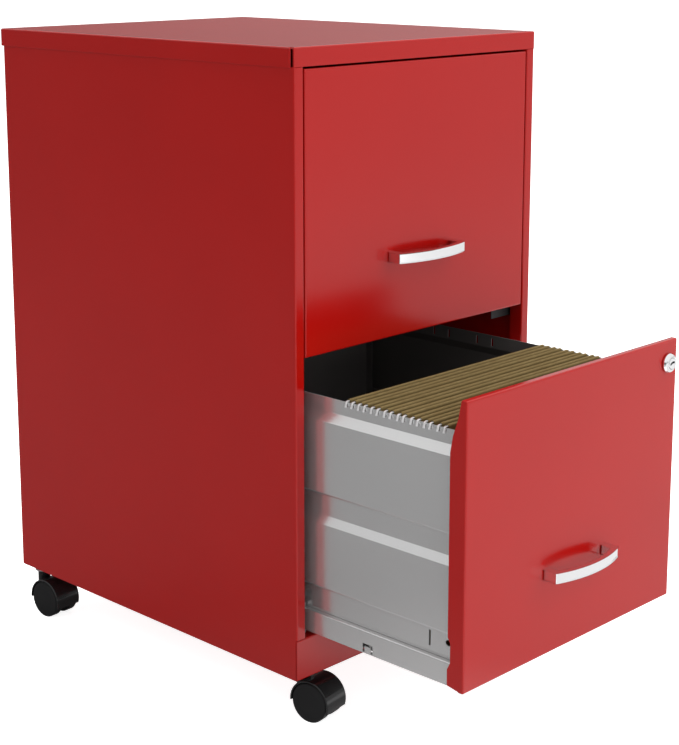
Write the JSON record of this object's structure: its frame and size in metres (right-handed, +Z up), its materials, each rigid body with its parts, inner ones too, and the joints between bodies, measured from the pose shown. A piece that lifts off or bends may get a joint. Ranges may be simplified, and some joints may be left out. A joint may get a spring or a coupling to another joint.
{
  "type": "filing cabinet",
  "caption": "Red steel filing cabinet on swivel twin-wheel casters with stacked drawers, bow handles, a cam lock and hanging folders in the open lower drawer.",
  "frame": {"origin": "on the floor, under the middle of the outline with the lower drawer open as at rest", "axes": "+X to the cabinet's right seen from the front, +Y from the fronts to the back, +Z up"},
  "size_m": [0.366, 0.6816, 0.6735],
  "materials": {
    "red_paint": "satin red powder coat on folded sheet steel",
    "grey_steel": "light grey satin coated sheet steel",
    "zinc_steel": "bright zinc-plated steel",
    "chrome": "polished chrome plate",
    "black_plastic": "satin black moulded nylon",
    "folder_paper": "matte olive-brown folder stock"
  },
  "bodies": {
    "cabinet": {"side_panel_left": "red_paint", "side_panel_right": "red_paint", "back_panel": "red_paint", "top_panel": "red_paint", "bottom_panel": "red_paint", "kick_panel": "red_paint", "lock_strike": "zinc_steel", "upper_cabinet_slide_left": "zinc_steel", "upper_cabinet_slide_right": "zinc_steel", "lower_cabinet_slide_left": "zinc_steel", "lower_cabinet_slide_right": "zinc_steel", "front_left_caster_stem": "zinc_steel", "front_right_caster_stem": "zinc_steel", "rear_left_caster_stem": "zinc_steel", "rear_right_caster_stem": "zinc_steel"},
    "upper_drawer": {"upper_front": "red_paint", "upper_drawer_side_left": "grey_steel", "upper_drawer_side_right": "grey_steel", "upper_drawer_back": "grey_steel", "upper_drawer_bottom": "grey_steel", "upper_drawer_slide_left": "grey_steel", "upper_drawer_slide_right": "grey_steel", "upper_handle": "chrome", "upper_handle_screw_left": "zinc_steel", "upper_handle_screw_right": "zinc_steel"},
    "upper_cage_left": {"upper_slide_cage_left": "zinc_steel"},
    "upper_cage_right": {"upper_slide_cage_right": "zinc_steel"},
    "lower_drawer": {"lower_front": "red_paint", "lower_drawer_side_left": "grey_steel", "lower_drawer_side_right": "grey_steel", "lower_drawer_back": "grey_steel", "lower_drawer_bottom": "grey_steel", "lower_drawer_slide_left": "grey_steel", "lower_drawer_slide_right": "grey_steel", "lower_handle": "chrome", "lower_handle_screw_left": "zinc_steel", "lower_handle_screw_right": "zinc_steel", "lock_housing": "chrome", "lock_nut": "zinc_steel", "hanging_folders": "folder_paper"},
    "lower_cage_left": {"lower_slide_cage_left": "zinc_steel"},
    "lower_cage_right": {"lower_slide_cage_right": "zinc_steel"},
    "lock_core": {"lock_plug": "chrome", "lock_cam": "zinc_steel"},
    "front_left_caster": {"front_left_caster_hood": "black_plastic", "front_left_caster_axle": "zinc_steel"},
    "front_left_left_wheel": {"front_left_wheel_left": "black_plastic"},
    "front_left_right_wheel": {"front_left_wheel_right": "black_plastic"},
    "front_right_caster": {"front_right_caster_hood": "black_plastic", "front_right_caster_axle": "zinc_steel"},
    "front_right_left_wheel": {"front_right_wheel_left": "black_plastic"},
    "front_right_right_wheel": {"front_right_wheel_right": "black_plastic"},
    "rear_left_caster": {"rear_left_caster_hood": "black_plastic", "rear_left_caster_axle": "zinc_steel"},
    "rear_left_left_wheel": {"rear_left_wheel_left": "black_plastic"},
    "rear_left_right_wheel": {"rear_left_wheel_right": "black_plastic"},
    "rear_right_caster": {"rear_right_caster_hood": "black_plastic", "rear_right_caster_axle": "zinc_steel"},
    "rear_right_left_wheel": {"rear_right_wheel_left": "black_plastic"},
    "rear_right_right_wheel": {"rear_right_wheel_right": "black_plastic"}
  },
  "joints": [
    {"name": "upper_drawer_slide", "type": "slide", "parent": "cabinet", "child": "upper_drawer", "axis": [0, -1, 0], "range_m": [0, 0.32]},
    {"name": "upper_cage_left_slide", "type": "slide", "parent": "cabinet", "child": "upper_cage_left", "axis": [0, -1, 0], "range_m": [0, 0.16]},
    {"name": "upper_cage_right_slide", "type": "slide", "parent": "cabinet", "child": "upper_cage_right", "axis": [0, -1, 0], "range_m": [0, 0.16]},
    {"name": "lower_drawer_slide", "type": "slide", "parent": "cabinet", "child": "lower_drawer", "axis": [0, -1, 0], "range_m": [-0.2, 0.12]},
    {"name": "lower_cage_left_slide", "type": "slide", "parent": "cabinet", "child": "lower_cage_left", "axis": [0, -1, 0], "range_m": [-0.1, 0.06]},
    {"name": "lower_cage_right_slide", "type": "slide", "parent": "cabinet", "child": "lower_cage_right", "axis": [0, -1, 0], "range_m": [-0.1, 0.06]},
    {"name": "lock_turn", "type": "hinge", "parent": "lower_drawer", "child": "lock_core", "pos_m": [0.15, -0.31625, 0.3505], "axis": [0, 1, 0], "range_deg": [0, 90]},
    {"name": "front_left_swivel", "type": "hinge", "parent": "cabinet", "child": "front_left_caster", "pos_m": [-0.1475, -0.09225, 0.03], "axis": [0, 0, 1], "continuous": true},
    {"name": "front_left_left_wheel_spin", "type": "hinge", "parent": "front_left_caster", "child": "front_left_left_wheel", "pos_m": [-0.14468, -0.11003, 0.0205], "axis": [0.9877, 0.1564, 0], "continuous": true},
    {"name": "front_left_right_wheel_spin", "type": "hinge", "parent": "front_left_caster", "child": "front_left_right_wheel", "pos_m": [-0.14468, -0.11003, 0.0205], "axis": [0.9877, 0.1564, 0], "continuous": true},
    {"name": "front_right_swivel", "type": "hinge", "parent": "cabinet", "child": "front_right_caster", "pos_m": [0.1475, -0.09225, 0.03], "axis": [0, 0, 1], "continuous": true},
    {"name": "front_right_left_wheel_spin", "type": "hinge", "parent": "front_right_caster", "child": "front_right_left_wheel", "pos_m": [0.14468, -0.11003, 0.0205], "axis": [0.9877, -0.1564, 0], "continuous": true},
    {"name": "front_right_right_wheel_spin", "type": "hinge", "parent": "front_right_caster", "child": "front_right_right_wheel", "pos_m": [0.14468, -0.11003, 0.0205], "axis": [0.9877, -0.1564, 0], "continuous": true},
    {"name": "rear_left_swivel", "type": "hinge", "parent": "cabinet", "child": "rear_left_caster", "pos_m": [-0.1663, 0.31675, 0.03], "axis": [0, 0, 1], "continuous": true},
    {"name": "rear_left_left_wheel_spin", "type": "hinge", "parent": "rear_left_caster", "child": "rear_left_left_wheel", "pos_m": [-0.16504, 0.29879, 0.0205], "axis": [0.9976, 0.0698, 0], "continuous": true},
    {"name": "rear_left_right_wheel_spin", "type": "hinge", "parent": "rear_left_caster", "child": "rear_left_right_wheel", "pos_m": [-0.16504, 0.29879, 0.0205], "axis": [0.9976, 0.0698, 0], "continuous": true},
    {"name": "rear_right_swivel", "type": "hinge", "parent": "cabinet", "child": "rear_right_caster", "pos_m": [0.1663, 0.31675, 0.03], "axis": [0, 0, 1], "continuous": true},
    {"name": "rear_right_left_wheel_spin", "type": "hinge", "parent": "rear_right_caster", "child": "rear_right_left_wheel", "pos_m": [0.16504, 0.29879, 0.0205], "axis": [0.9976, -0.0698, 0], "continuous": true},
    {"name": "rear_right_right_wheel_spin", "type": "hinge", "parent": "rear_right_caster", "child": "rear_right_right_wheel", "pos_m": [0.16504, 0.29879, 0.0205], "axis": [0.9976, -0.0698, 0], "continuous": true}
  ],
  "couplings": [
    {"joint": "upper_cage_left_slide", "follows": "upper_drawer_slide", "ratio": 0.5},
    {"joint": "upper_cage_right_slide", "follows": "upper_drawer_slide", "ratio": 0.5},
    {"joint": "lower_cage_left_slide", "follows": "lower_drawer_slide", "ratio": 0.5},
    {"joint": "lower_cage_right_slide", "follows": "lower_drawer_slide", "ratio": 0.5}
  ]
}
